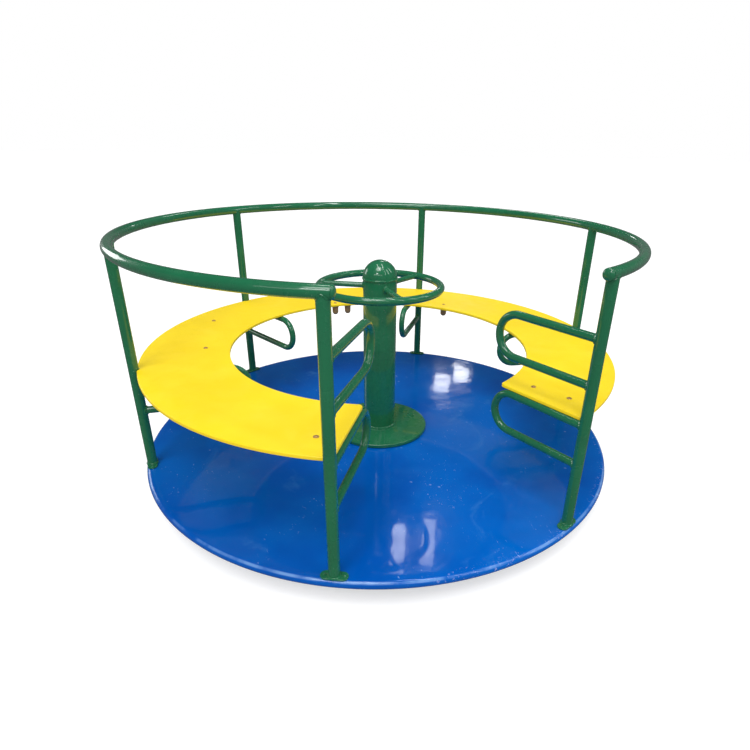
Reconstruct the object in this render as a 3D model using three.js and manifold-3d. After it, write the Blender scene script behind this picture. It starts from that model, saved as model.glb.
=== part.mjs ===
// A playground merry-go-round: a round steel platform that turns on a fixed spindle, with a tubular
// guard rail on six uprights, a C-shaped seat on bent-tube brackets, and a fixed hand wheel that the
// riders pull on to turn themselves. Millimetres, +Z up, ground at Z = 0, turning axis on Z.
// The entrance is centred on -Y. Azimuths are in degrees, counter-clockwise from +X seen from above.
import * as THREE from 'three';
import { mergeVertices } from 'three/addons/utils/BufferGeometryUtils.js';
import Module from 'manifold-3d';

const wasm = await Module();
wasm.setup();

// ---- Driving dimensions ----------------------------------------------------------------------
const gap = 0.3; // left between pieces that are welded, pressed or stacked together

// Platform
const deckRadius = 900;
const deckTop = 100;
const deckThickness = 4;
const rimTubeRadius = 14;
const armWidth = 40;
const armHeight = 30;

// Uprights and guard rail
const uprightCount = 6;
const entranceAngle = 50;
const ringRadius = 879; // the axes of the uprights and of the rail lie on this circle
const tubeRadius = 33.7 / 2;
const railRise = 788; // rail axis above the deck
const railOverrun = { 1: 18, 6: 26 }; // how far the rail runs past each of the two end uprights
const footLength = 80;
const footWidth = 34;
const footThickness = 5;

// Seat and the bent brackets under and beside it
const seatOuterRadius = 869;
const seatInnerRadius = 563;
const seatThickness = 12;
const seatRise = 372; // top of the seat above the deck
const seatEndOverhang = 3; // from a bracket's plane to the end of the seat
const bracketTubeRadius = 25.4 / 2;
const bracketYaw = [5, 5, 5, 2, 5, 5]; // each bracket's inner end leads the radius by this angle
const supportLegSpacing = 130;
const supportReach = [364, 367, 388, 388, 341, 334]; // from the upright's axis, bracket by bracket
// Only the uprights beside the entrance have an armrest.
const armrestRise = { 1: 632, 6: 610 }; // upper leg above the deck
const armrestReach = 346;
const armrestYaw = { 1: 8, 6: 5 };
const armrestLegSpacing = 138;

// Fasteners through the seat, as [radius, azimuth]
const seatBolts = [[656, -58], [779, -58.5], [774, -119.5], [752, 144], [654, 171], [621, 43]];
const boltRadius = 5;
const boltHeadRadius = 8.5;
const boltHeadHeight = 4;
const nutRadius = 17; // the domed cover over each nut
const nutHeight = 42;

// Centre post and hand wheel
const postRadius = 63.5;
const postWall = 6;
const postTopRise = 616; // top edge of the post above the deck
const capLip = 3;
const capRadius = 65;
const wheelRadius = 228;
const wheelTubeRadius = 14;
const wheelRise = 591; // wheel above the deck
const spokeCount = 3;
const spokeRadius = 10;
const firstSpokeAzimuth = -87;
const coverRadius = 195;
const coverRise = 15; // top of the weather cover above the deck
const coverThickness = 5;
const coverClearance = 2.5; // between the fixed cover and the turning deck

// Base, spindle and bearings
const baseRadius = 230;
const baseThickness = 10;
const anchorCircleRadius = 190;
const anchorHoleRadius = 7;
const anchorCount = 4;
const spindleRadius = 30;
const spindleCollarRadius = 46;
const spindleThreadRadius = 20;
const spindleTop = 346;
const spindleNutRadius = 34; // over the corners
const spindleNutHeight = 22;
const washerRadius = 42;
const washerThickness = 4;
const socketThickness = 12;
const upperSocketBase = 300;
const hubRadius = 75;
const hubTop = 108;
const hubBottom = 38;
const innerRaceRadius = 37;
const outerRaceRadius = 52;
const outerRaceBackRadius = 60;
const raceHeight = 18;
const lowerRaceBase = 40;
const upperRaceBase = 86;
const rollerCount = 8;

// ---- Worked out from them --------------------------------------------------------------------
const bayAngle = (360 - entranceAngle) / (uprightCount - 1);
const railZ = deckTop + railRise;
const seatTop = deckTop + seatRise;
const supportTopZ = seatTop - seatThickness - bracketTubeRadius - gap;
const rimTubeCentre = deckRadius - rimTubeRadius;
const footTop = deckTop + gap + footThickness;
const postTop = deckTop + postTopRise;
const wheelZ = deckTop + wheelRise;
const coverTop = deckTop + coverRise;
const postBore = postRadius - postWall;
const lowerRaceTop = lowerRaceBase + raceHeight;
const upperRaceTop = upperRaceBase + raceHeight;
const lowerSocketBase = coverTop + 3;
const lowerSocketTop = lowerSocketBase + socketThickness;
const upperSocketTop = upperSocketBase + socketThickness;
const nutBase = upperSocketTop + washerThickness + 2 * gap;

// Facets round each kind of circle
const deckFacets = 60;
const mediumFacets = 36;
const smallFacets = 24;
const hoopSides = 10;
const railSteps = 50;

const radians = THREE.MathUtils.degToRad;
const uprightAzimuth = (number) => -90 - entranceAngle / 2 - bayAngle * (number - 1);

// ---- Materials -------------------------------------------------------------------------------
const paint = (color, roughness) => new THREE.MeshStandardMaterial({ color, roughness, metalness: 0 });
const metal = (color, roughness) => new THREE.MeshStandardMaterial({ color, roughness, metalness: 1 });
const greenPaint = paint(0x24693f, 0.25);
const bluePaint = paint(0x0050a0, 0.15);
const yellowBoard = paint(0xf7dc22, 0.4);
const primer = paint(0x3c4146, 0.6);
const rubber = paint(0x151515, 0.8);
const galvanised = metal(0x9aa0a3, 0.5);
const bearingSteel = metal(0xb9bcc0, 0.2);
const zinc = metal(0xb59a72, 0.4);

// ---- Joining and cutting ---------------------------------------------------------------------
// Turns a closed geometry into a solid. Triangles that collapse on the axis of a lathe are dropped.
function solid(geometry) {
  const bare = geometry.clone();
  bare.deleteAttribute('normal');
  bare.deleteAttribute('uv');
  const merged = mergeVertices(bare, 1e-4);
  const index = merged.index.array;
  const triangles = [];
  for (let i = 0; i < index.length; i += 3) {
    const [a, b, c] = [index[i], index[i + 1], index[i + 2]];
    if (a !== b && b !== c && c !== a) triangles.push(a, b, c);
  }
  return new wasm.Manifold(new wasm.Mesh({
    numProp: 3,
    vertProperties: new Float32Array(merged.attributes.position.array),
    triVerts: new Uint32Array(triangles),
  }));
}

function geometryOf(manifold) {
  const mesh = manifold.getMesh();
  const geometry = new THREE.BufferGeometry();
  geometry.setAttribute('position', new THREE.BufferAttribute(mesh.vertProperties, 3));
  geometry.setIndex(new THREE.BufferAttribute(mesh.triVerts, 1));
  geometry.computeVertexNormals();
  return geometry;
}

function cut(geometry, ...tools) {
  let result = solid(geometry);
  for (const tool of tools) result = result.subtract(solid(tool));
  return geometryOf(result);
}

function join(first, ...others) {
  let result = solid(first);
  for (const other of others) result = result.add(solid(other));
  return geometryOf(result);
}

// ---- Shapes ----------------------------------------------------------------------------------
// A body of revolution about Z from a profile of [radius, z] points.
function turned(profile, segments) {
  const points = profile.map(([radius, z]) => new THREE.Vector2(radius, z));
  return new THREE.LatheGeometry(points, segments).rotateX(Math.PI / 2);
}

// A ring of rectangular section.
function ring(inner, outer, low, high, segments) {
  return turned([[inner, low], [outer, low], [outer, high], [inner, high], [inner, low]], segments);
}

// A round bar standing on Z, its axis at [x, y].
function upright(radius, low, high, x = 0, y = 0, segments = 16) {
  const bar = new THREE.CylinderGeometry(radius, radius, high - low, segments);
  return bar.rotateX(Math.PI / 2).translate(x, y, (low + high) / 2);
}

function roundShape(radius, sides) {
  const shape = new THREE.Shape();
  for (let i = 0; i < sides; i += 1) {
    const angle = (2 * Math.PI * i) / sides;
    const [x, y] = [radius * Math.cos(angle), radius * Math.sin(angle)];
    if (i === 0) shape.moveTo(x, y);
    else shape.lineTo(x, y);
  }
  shape.closePath();
  return shape;
}

function barAlong(path, radius, steps, sides) {
  return new THREE.ExtrudeGeometry(roundShape(radius, sides), { extrudePath: path, steps });
}

// An arc of a circle: centre, two perpendicular unit directions, radius and two angles in degrees.
class Arc extends THREE.Curve {
  constructor(centre, across, along, radius, start, end) {
    super();
    Object.assign(this, { centre, across, along, radius, start, end });
  }

  getPoint(t, target = new THREE.Vector3()) {
    const angle = radians(this.start + (this.end - this.start) * t);
    return target.copy(this.centre)
      .addScaledVector(this.across, this.radius * Math.cos(angle))
      .addScaledVector(this.along, this.radius * Math.sin(angle));
  }
}

const xAxis = new THREE.Vector3(1, 0, 0);
const yAxis = new THREE.Vector3(0, 1, 0);
const zAxis = new THREE.Vector3(0, 0, 1);

function levelArc(radius, z, start, end) {
  return new Arc(new THREE.Vector3(0, 0, z), xAxis, yAxis, radius, start, end);
}

function torus(radius, tube, z, segments, sides) {
  const profile = [];
  for (let i = 0; i <= sides; i += 1) {
    const angle = (2 * Math.PI * (i % sides)) / sides;
    profile.push([radius + tube * Math.cos(angle), z + tube * Math.sin(angle)]);
  }
  return turned(profile, segments);
}

// ---- Assembly --------------------------------------------------------------------------------
const object = new THREE.Group();

function add(parent, name, geometry, material) {
  const mesh = new THREE.Mesh(geometry, material);
  mesh.name = name;
  parent.add(mesh);
  return mesh;
}

// Fixed part: base plate, spindle with its nut, and the inner races of the two bearings.
function addPedestal() {
  const anchorHoles = [];
  for (let i = 0; i < anchorCount; i += 1) {
    const angle = radians(45 + (360 / anchorCount) * i);
    const [x, y] = [anchorCircleRadius * Math.cos(angle), anchorCircleRadius * Math.sin(angle)];
    anchorHoles.push(upright(anchorHoleRadius, -5, baseThickness + 5, x, y, 8));
  }
  const plate = upright(baseRadius, 0, baseThickness, 0, 0, mediumFacets);
  add(object, 'base_plate', cut(plate, ...anchorHoles), galvanised);

  add(object, 'spindle', turned([
    [0, baseThickness + gap],
    [spindleCollarRadius, baseThickness + gap],
    [spindleCollarRadius, lowerRaceBase - gap],
    [spindleRadius, lowerRaceBase - gap],
    [spindleRadius, upperSocketTop - 2],
    [spindleThreadRadius, upperSocketTop - 2],
    [spindleThreadRadius, spindleTop],
    [0, spindleTop],
  ], smallFacets), bearingSteel);

  const boreRadius = spindleRadius + gap;
  const innerRace = (low) => ring(boreRadius, innerRaceRadius, low, low + raceHeight, smallFacets);
  add(object, 'lower_bearing_inner_race', innerRace(lowerRaceBase), bearingSteel);
  add(object, 'upper_bearing_inner_race', innerRace(upperRaceBase), bearingSteel);
  const [spacerFoot, spacerTop] = [lowerRaceTop + gap, upperRaceBase - gap];
  const spacer = ring(boreRadius, innerRaceRadius - 1, spacerFoot, spacerTop, smallFacets);
  add(object, 'bearing_spacer', spacer, bearingSteel);

  // The lower socket has a nose that reaches down to the upper bearing's inner race.
  add(object, 'post_lower_socket', turned([
    [boreRadius, upperRaceTop + gap],
    [innerRaceRadius - 1, upperRaceTop + gap],
    [innerRaceRadius - 1, lowerSocketBase],
    [postBore - gap, lowerSocketBase],
    [postBore - gap, lowerSocketTop],
    [boreRadius, lowerSocketTop],
    [boreRadius, upperRaceTop + gap],
  ], smallFacets), galvanised);
  const upperSocket = ring(boreRadius, postBore - gap, upperSocketBase, upperSocketTop, smallFacets);
  add(object, 'post_upper_socket', upperSocket, galvanised);

  const threadBore = spindleThreadRadius + gap;
  const washer = ring(threadBore, washerRadius, upperSocketTop + gap, nutBase - gap, smallFacets);
  add(object, 'spindle_washer', washer, galvanised);
  const nut = upright(spindleNutRadius, nutBase, nutBase + spindleNutHeight, 0, 0, 6);
  const nutBore = upright(threadBore, 0, spindleTop + 20, 0, 0, smallFacets);
  add(object, 'spindle_nut', cut(nut, nutBore), galvanised);
}

// Fixed part: centre post, its dome, the cover over the hub, and the hand wheel.
function addPostAndWheel() {
  const postFoot = coverTop - coverThickness + gap;
  add(object, 'centre_post', ring(postBore, postRadius, postFoot, postTop, mediumFacets), greenPaint);

  const dome = (radius, base, from, to) => {
    const points = [];
    const steps = 7;
    for (let i = 0; i <= steps; i += 1) {
      const angle = radians(from + ((to - from) * i) / steps);
      points.push([Math.max(0, radius * Math.cos(angle)), base + radius * Math.sin(angle)]);
    }
    return points;
  };
  const lipRadius = postRadius + capLip;
  const capSeat = postTop + gap;
  const domeBase = capSeat + 6;
  const inside = dome(capRadius - 4, domeBase, 90, 0);
  const outside = dome(capRadius, domeBase, 0, 90);
  inside[0][0] = 0;
  outside[outside.length - 1][0] = 0;
  add(object, 'post_cap', turned([
    ...inside,
    [capRadius - 4, capSeat],
    [lipRadius, capSeat],
    [lipRadius, domeBase],
    ...outside,
  ], smallFacets), greenPaint);

  const coverBore = postRadius + gap;
  const coverFoot = deckTop + coverClearance;
  const underside = coverTop - coverThickness;
  add(object, 'hub_cover', turned([
    [coverBore, underside],
    [coverRadius - coverThickness, underside],
    [coverRadius - coverThickness, coverFoot],
    [coverRadius, coverFoot],
    [coverRadius, coverTop - 2],
    [coverRadius - 2, coverTop],
    [coverBore, coverTop],
    [coverBore, underside],
  ], mediumFacets), greenPaint);

  const wheelHoop = (tube) => torus(wheelRadius, tube, wheelZ, mediumFacets, hoopSides);
  add(object, 'wheel_rim', wheelHoop(wheelTubeRadius), greenPaint);
  const rimCutter = wheelHoop(wheelTubeRadius + gap);
  const postCutter = upright(postRadius + gap, 0, postTop, 0, 0, mediumFacets);
  for (let number = 1; number <= spokeCount; number += 1) {
    const azimuth = radians(firstSpokeAzimuth + (360 / spokeCount) * (number - 1));
    const bar = upright(spokeRadius, 0, wheelRadius, 0, 0, 12);
    bar.rotateY(Math.PI / 2).rotateZ(azimuth).translate(0, 0, wheelZ);
    add(object, `wheel_spoke_${number}`, cut(bar, postCutter, rimCutter), greenPaint);
  }
}

// Turning part: hub with the outer races and the seal, deck sheet and rim hoop.
function addDeck() {
  const bore = outerRaceBackRadius + gap;
  const shoulder = outerRaceRadius + 2;
  add(object, 'hub_housing', turned([
    [bore, hubBottom],
    [hubRadius, hubBottom],
    [hubRadius, hubTop],
    [bore, hubTop],
    [bore, upperRaceBase - gap],
    [shoulder, upperRaceBase - gap],
    [shoulder, lowerRaceTop + gap],
    [bore, lowerRaceTop + gap],
    [bore, hubBottom],
  ], mediumFacets), primer);

  const outerRace = (low) => ring(outerRaceRadius, outerRaceBackRadius, low, low + raceHeight, smallFacets);
  add(object, 'lower_bearing_outer_race', outerRace(lowerRaceBase), bearingSteel);
  add(object, 'upper_bearing_outer_race', outerRace(upperRaceBase), bearingSteel);
  const sealRing = ring(innerRaceRadius, outerRaceBackRadius, upperRaceTop + gap, hubTop, smallFacets);
  add(object, 'hub_seal', sealRing, rubber);

  const sheet = ring(hubRadius + gap, rimTubeCentre, deckTop - deckThickness, deckTop, deckFacets);
  const hoop = (tube) => torus(rimTubeCentre, tube, deckTop - rimTubeRadius, deckFacets, hoopSides);
  add(object, 'deck_sheet', cut(sheet, hoop(rimTubeRadius + gap)), bluePaint);
  add(object, 'deck_rim', hoop(rimTubeRadius), bluePaint);
}

// One cage with its rollers, which roll between the inner and the outer race.
function addBearingCage(name, low) {
  const play = 0.5;
  const rollerRadius = (outerRaceRadius - innerRaceRadius) / 2 - play;
  const pitchRadius = (outerRaceRadius + innerRaceRadius) / 2;
  const [bottom, top] = [low + 1, low + raceHeight - 1];
  const band = (from, to) => ring(pitchRadius - 3, pitchRadius + 3, from, to, smallFacets);
  const rollers = [];
  for (let i = 0; i < rollerCount; i += 1) {
    const angle = (2 * Math.PI * i) / rollerCount;
    const [x, y] = [pitchRadius * Math.cos(angle), pitchRadius * Math.sin(angle)];
    rollers.push(upright(rollerRadius, bottom + 1, top - 1, x, y, 8));
  }
  add(object, name, join(band(bottom, bottom + 3), band(top - 3, top), ...rollers), bearingSteel);
}

// A bent tube: out from the upright's axis, round a half circle and back, in a plane turned by yaw
// from the radius. The frame is an upright's own: X points outwards along the radius.
function hairpin(reach, topZ, legSpacing, yaw) {
  const bendRadius = legSpacing / 2;
  const inward = new THREE.Vector3(-Math.cos(radians(yaw)), Math.sin(radians(yaw)), 0);
  const post = new THREE.Vector3(ringRadius, 0, 0);
  const at = (distance, z) => post.clone().addScaledVector(inward, distance).setZ(z);
  const straight = reach - bendRadius;
  const bottomZ = topZ - legSpacing;
  const path = new THREE.CurvePath();
  path.add(new THREE.LineCurve3(at(0, topZ), at(straight, topZ)));
  path.add(new Arc(at(straight, topZ - bendRadius), inward, zAxis, bendRadius, 90, -90));
  path.add(new THREE.LineCurve3(at(straight, bottomZ), at(0, bottomZ)));
  const uprightCutter = upright(tubeRadius + gap, deckTop, railZ, ringRadius, 0, 20);
  return cut(barAlong(path, bracketTubeRadius, 22, 8), uprightCutter);
}

// Everything that stands at one upright: its foot, its tube, its arm under the deck and its brackets.
function addStation(number) {
  const turn = radians(uprightAzimuth(number));
  const station = new THREE.Group();
  station.rotation.z = turn;
  object.add(station);

  const foot = new THREE.Shape();
  const half = (footLength - footWidth) / 2;
  foot.absarc(0, half, footWidth / 2, 0, Math.PI, false);
  foot.absarc(0, -half, footWidth / 2, Math.PI, 2 * Math.PI, false);
  const plate = new THREE.ExtrudeGeometry(foot, {
    depth: footThickness,
    bevelEnabled: false,
    curveSegments: 10,
  });
  plate.translate(ringRadius, 0, deckTop + gap);
  add(station, `foot_plate_${number}`, plate, greenPaint);

  const tube = upright(tubeRadius, footTop + gap, railZ - 6, ringRadius, 0, 20);
  const railCutter = railHoop(tubeRadius + gap).rotateZ(-turn);
  add(station, `upright_${number}`, cut(tube, railCutter), greenPaint);

  const armStart = hubRadius + gap;
  const armEnd = rimTubeCentre - rimTubeRadius - 2;
  const arm = new THREE.BoxGeometry(armEnd - armStart, armWidth, armHeight);
  const armTop = deckTop - deckThickness - gap;
  arm.translate((armStart + armEnd) / 2, 0, armTop - armHeight / 2);
  add(station, `deck_arm_${number}`, arm, primer);

  const [reach, yaw] = [supportReach[number - 1], bracketYaw[number - 1]];
  const support = hairpin(reach, supportTopZ, supportLegSpacing, yaw);
  add(station, `seat_bracket_${number}`, support, greenPaint);
  if (armrestRise[number]) {
    const topZ = deckTop + armrestRise[number];
    const armrest = hairpin(armrestReach, topZ, armrestLegSpacing, armrestYaw[number]);
    add(station, `armrest_${number}`, armrest, greenPaint);
  }
}

// The rail is an open hoop; a domed plug closes each end.
const railOverrunAngle = (number) => THREE.MathUtils.radToDeg(railOverrun[number] / ringRadius);
const railStart = uprightAzimuth(uprightCount) + 360 - railOverrunAngle(uprightCount);
const railEnd = uprightAzimuth(1) + 360 + railOverrunAngle(1);

function railHoop(radius) {
  return barAlong(levelArc(ringRadius, railZ, railStart, railEnd), radius, railSteps, hoopSides);
}

function addRail() {
  add(object, 'top_rail', railHoop(tubeRadius), greenPaint);

  const steps = 5;
  const profile = [[0, 0]];
  for (let i = 0; i <= steps; i += 1) {
    const angle = (Math.PI / 2) * (i / steps);
    profile.push([tubeRadius * Math.cos(angle), 0.6 * tubeRadius * Math.sin(angle)]);
  }
  profile[profile.length - 1][0] = 0;
  const ends = [[uprightCount, railStart, -1], [1, railEnd, 1]];
  for (const [number, azimuth, sense] of ends) {
    const angle = radians(azimuth);
    const outward = new THREE.Vector3(-Math.sin(angle), Math.cos(angle), 0).multiplyScalar(sense);
    const plug = add(object, `rail_end_cap_${number}`, turned(profile, 16), greenPaint);
    plug.position.set(ringRadius * Math.cos(angle), ringRadius * Math.sin(angle), railZ);
    plug.position.addScaledVector(outward, 2 * gap);
    plug.quaternion.setFromUnitVectors(zAxis, outward);
  }
}

// Azimuth at which the straight end of the seat crosses a circle. The end runs beside a bracket, on
// the side of the entrance: side is +1 at the first upright and -1 at the last.
function seatEndAzimuth(number, side, radius) {
  const azimuth = radians(uprightAzimuth(number));
  const yaw = radians(bracketYaw[number - 1]);
  const post = new THREE.Vector2(ringRadius, 0);
  const inward = new THREE.Vector2(-Math.cos(yaw), Math.sin(yaw));
  const beside = new THREE.Vector2(inward.y, -inward.x).multiplyScalar(side * seatEndOverhang);
  const origin = post.add(beside);
  const along = origin.dot(inward);
  const travel = -along - Math.sqrt(along * along - origin.lengthSq() + radius * radius);
  const crossing = origin.addScaledVector(inward, travel);
  return azimuth + Math.atan2(crossing.y, crossing.x);
}

function addSeat() {
  const board = new THREE.Shape();
  const last = (radius) => seatEndAzimuth(uprightCount, -1, radius);
  const first = (radius) => seatEndAzimuth(1, 1, radius);
  board.absarc(0, 0, seatOuterRadius, last(seatOuterRadius), first(seatOuterRadius), false);
  board.absarc(0, 0, seatInnerRadius, first(seatInnerRadius), last(seatInnerRadius), true);
  const blank = new THREE.ExtrudeGeometry(board, {
    depth: seatThickness,
    bevelEnabled: false,
    curveSegments: deckFacets / 2,
  });
  blank.translate(0, 0, seatTop - seatThickness);

  const tools = [];
  for (let number = 1; number <= uprightCount; number += 1) {
    const angle = radians(uprightAzimuth(number));
    const [x, y] = [ringRadius * Math.cos(angle), ringRadius * Math.sin(angle)];
    tools.push(upright(tubeRadius + 2 * gap, deckTop, railZ, x, y, 20));
  }
  const places = seatBolts.map(([radius, azimuth]) => {
    const angle = radians(azimuth);
    return [radius * Math.cos(angle), radius * Math.sin(angle)];
  });
  for (const [x, y] of places) tools.push(upright(boltRadius + gap, deckTop, railZ, x, y, 12));
  add(object, 'seat', cut(blank, ...tools), yellowBoard);

  // Heights from the seat's top face.
  const nutTop = -seatThickness - gap;
  const nutFoot = nutTop - nutHeight;
  places.forEach(([x, y], i) => {
    const bolt = turned([
      [0, nutFoot],
      [nutRadius * 0.5, nutFoot],
      [nutRadius * 0.85, nutFoot + nutHeight * 0.2],
      [nutRadius, nutTop - nutHeight * 0.15],
      [nutRadius, nutTop],
      [boltRadius, nutTop],
      [boltRadius, gap],
      [boltHeadRadius, gap],
      [boltHeadRadius * 0.6, gap + boltHeadHeight * 0.9],
      [0, gap + boltHeadHeight],
    ], 12);
    add(object, `seat_bolt_${i + 1}`, bolt, zinc).position.set(x, y, seatTop);
  });
}

addPedestal();
addPostAndWheel();
addDeck();
addBearingCage('lower_bearing_cage', lowerRaceBase);
addBearingCage('upper_bearing_cage', upperRaceBase);
for (let number = 1; number <= uprightCount; number += 1) addStation(number);
addRail();
addSeat();

export default object;
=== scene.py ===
# A playground merry-go-round, finished in Blender round its CAD frame. Metres, +Z up, ground at Z = 0,
# turning axis on Z, entrance on -Y. Azimuths are in degrees, counter-clockwise from +X.
import math

import bmesh
import bpy
from mathutils import Matrix, Quaternion, Vector, noise


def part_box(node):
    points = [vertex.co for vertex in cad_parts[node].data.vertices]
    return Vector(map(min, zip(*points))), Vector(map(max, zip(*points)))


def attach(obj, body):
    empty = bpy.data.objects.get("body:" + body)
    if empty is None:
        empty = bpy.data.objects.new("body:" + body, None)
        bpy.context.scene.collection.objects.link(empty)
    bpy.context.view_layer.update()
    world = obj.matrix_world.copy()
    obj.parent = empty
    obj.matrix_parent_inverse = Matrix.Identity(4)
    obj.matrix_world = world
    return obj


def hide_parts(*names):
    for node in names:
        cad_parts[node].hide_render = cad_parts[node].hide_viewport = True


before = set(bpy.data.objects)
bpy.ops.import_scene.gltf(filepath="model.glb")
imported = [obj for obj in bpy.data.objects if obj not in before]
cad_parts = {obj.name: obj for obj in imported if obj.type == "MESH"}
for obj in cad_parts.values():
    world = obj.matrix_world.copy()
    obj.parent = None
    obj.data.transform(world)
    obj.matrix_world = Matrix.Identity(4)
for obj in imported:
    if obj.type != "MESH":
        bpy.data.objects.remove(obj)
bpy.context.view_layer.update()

# ---- Sizes ------------------------------------------------------------------------------------
GAP = 0.0003  # left between pieces that are welded, pressed or stacked together

# Platform
DECK_LOW, DECK_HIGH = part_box("deck_sheet")
DECK_TOP = DECK_HIGH.z
DECK_UNDER = DECK_LOW.z
RIM_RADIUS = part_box("deck_rim")[1].x
RIM_TUBE = 0.014

# Hub, bearings and base
HUB_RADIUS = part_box("hub_housing")[1].x
HUB_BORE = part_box("lower_bearing_outer_race")[1].x + GAP
HUB_SHOULDER = 0.054
SHOULDER_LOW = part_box("lower_bearing_outer_race")[1].z + GAP
SHOULDER_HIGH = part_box("upper_bearing_outer_race")[0].z - GAP
ANCHOR_CIRCLE = 0.190
ANCHOR_HOLE = 0.007
ANCHOR_COUNT = 4

# Uprights and rail
UPRIGHT_COUNT = 6
ENTRANCE_ANGLE = 50
RING_RADIUS = 0.879
TUBE = 0.01685
RAIL_Z = DECK_TOP + 0.788
RAIL_OVERRUN = {1: 0.018, 6: 0.026}
FOOT_LENGTH = 0.080
FOOT_WIDTH = 0.034
FOOT_LOW, FOOT_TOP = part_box("foot_plate_1")[0].z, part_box("foot_plate_1")[1].z
FOOT_SCREW = 0.0285  # from the middle of a foot plate to each of its two screws

# Seat and its bent brackets
SEAT_OUTER = 0.869
SEAT_INNER = 0.563
SEAT_LOW, SEAT_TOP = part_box("seat")[0].z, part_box("seat")[1].z
SEAT_OVERHANG = 0.003
BRACKET_TUBE = 0.0127
BRACKET_YAW = [5, 5, 5, 2, 5, 5]
SEAT_BOLT_COUNT = 6
EXTRA_BOLTS = {7: 88.5, 8: 94.5}  # the azimuths of two more, which have no CAD node
EXTRA_BOLT_RADIUS = SEAT_INNER + 0.022
SUPPORT_LEGS = 0.130
SUPPORT_REACH = [0.364, 0.367, 0.388, 0.388, 0.341, 0.334]
SUPPORT_TOP = SEAT_LOW - BRACKET_TUBE - GAP
ARMREST_LEGS = 0.138
ARMREST_REACH = 0.346
ARMREST_YAW = {1: 8, 6: 5}
ARMREST_TOP = {1: DECK_TOP + 0.632, 6: DECK_TOP + 0.610}

# Centre post and hand wheel
POST_RADIUS = 0.0635
POST_WALL = 0.006
POST_LOW, POST_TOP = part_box("centre_post")[0].z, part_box("centre_post")[1].z
WHEEL_RADIUS = 0.228
WHEEL_TUBE = 0.014
WHEEL_Z = DECK_TOP + 0.591
SPOKE_TUBE = 0.010
SPOKE_COUNT = 3
FIRST_SPOKE = -87
COVER_RADIUS = 0.195
COVER_THICKNESS = 0.005
COVER_LOW, COVER_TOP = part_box("hub_cover")[0].z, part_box("hub_cover")[1].z

# Camera, as the photographer stood
CAMERA_AZIMUTH = -107.12
CAMERA_RADIUS = 1.9816
CAMERA_HEIGHT = 1.1708
LOOK_AZIMUTH = 70.8
LOOK_DOWN = 25.11
CAMERA_ROLL = 1.16
CAMERA_LENS = 25.59
CAMERA_SHIFT = (-0.0293, 0.0259)

CAROUSEL = "carousel"
PEDESTAL = "pedestal"


def upright_azimuth(number):
    bay = (360 - ENTRANCE_ANGLE) / (UPRIGHT_COUNT - 1)
    return math.radians(-90 - ENTRANCE_ANGLE / 2 - bay * (number - 1))


def polar(radius, azimuth, z=0.0):
    return Vector((radius * math.cos(azimuth), radius * math.sin(azimuth), z))


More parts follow.
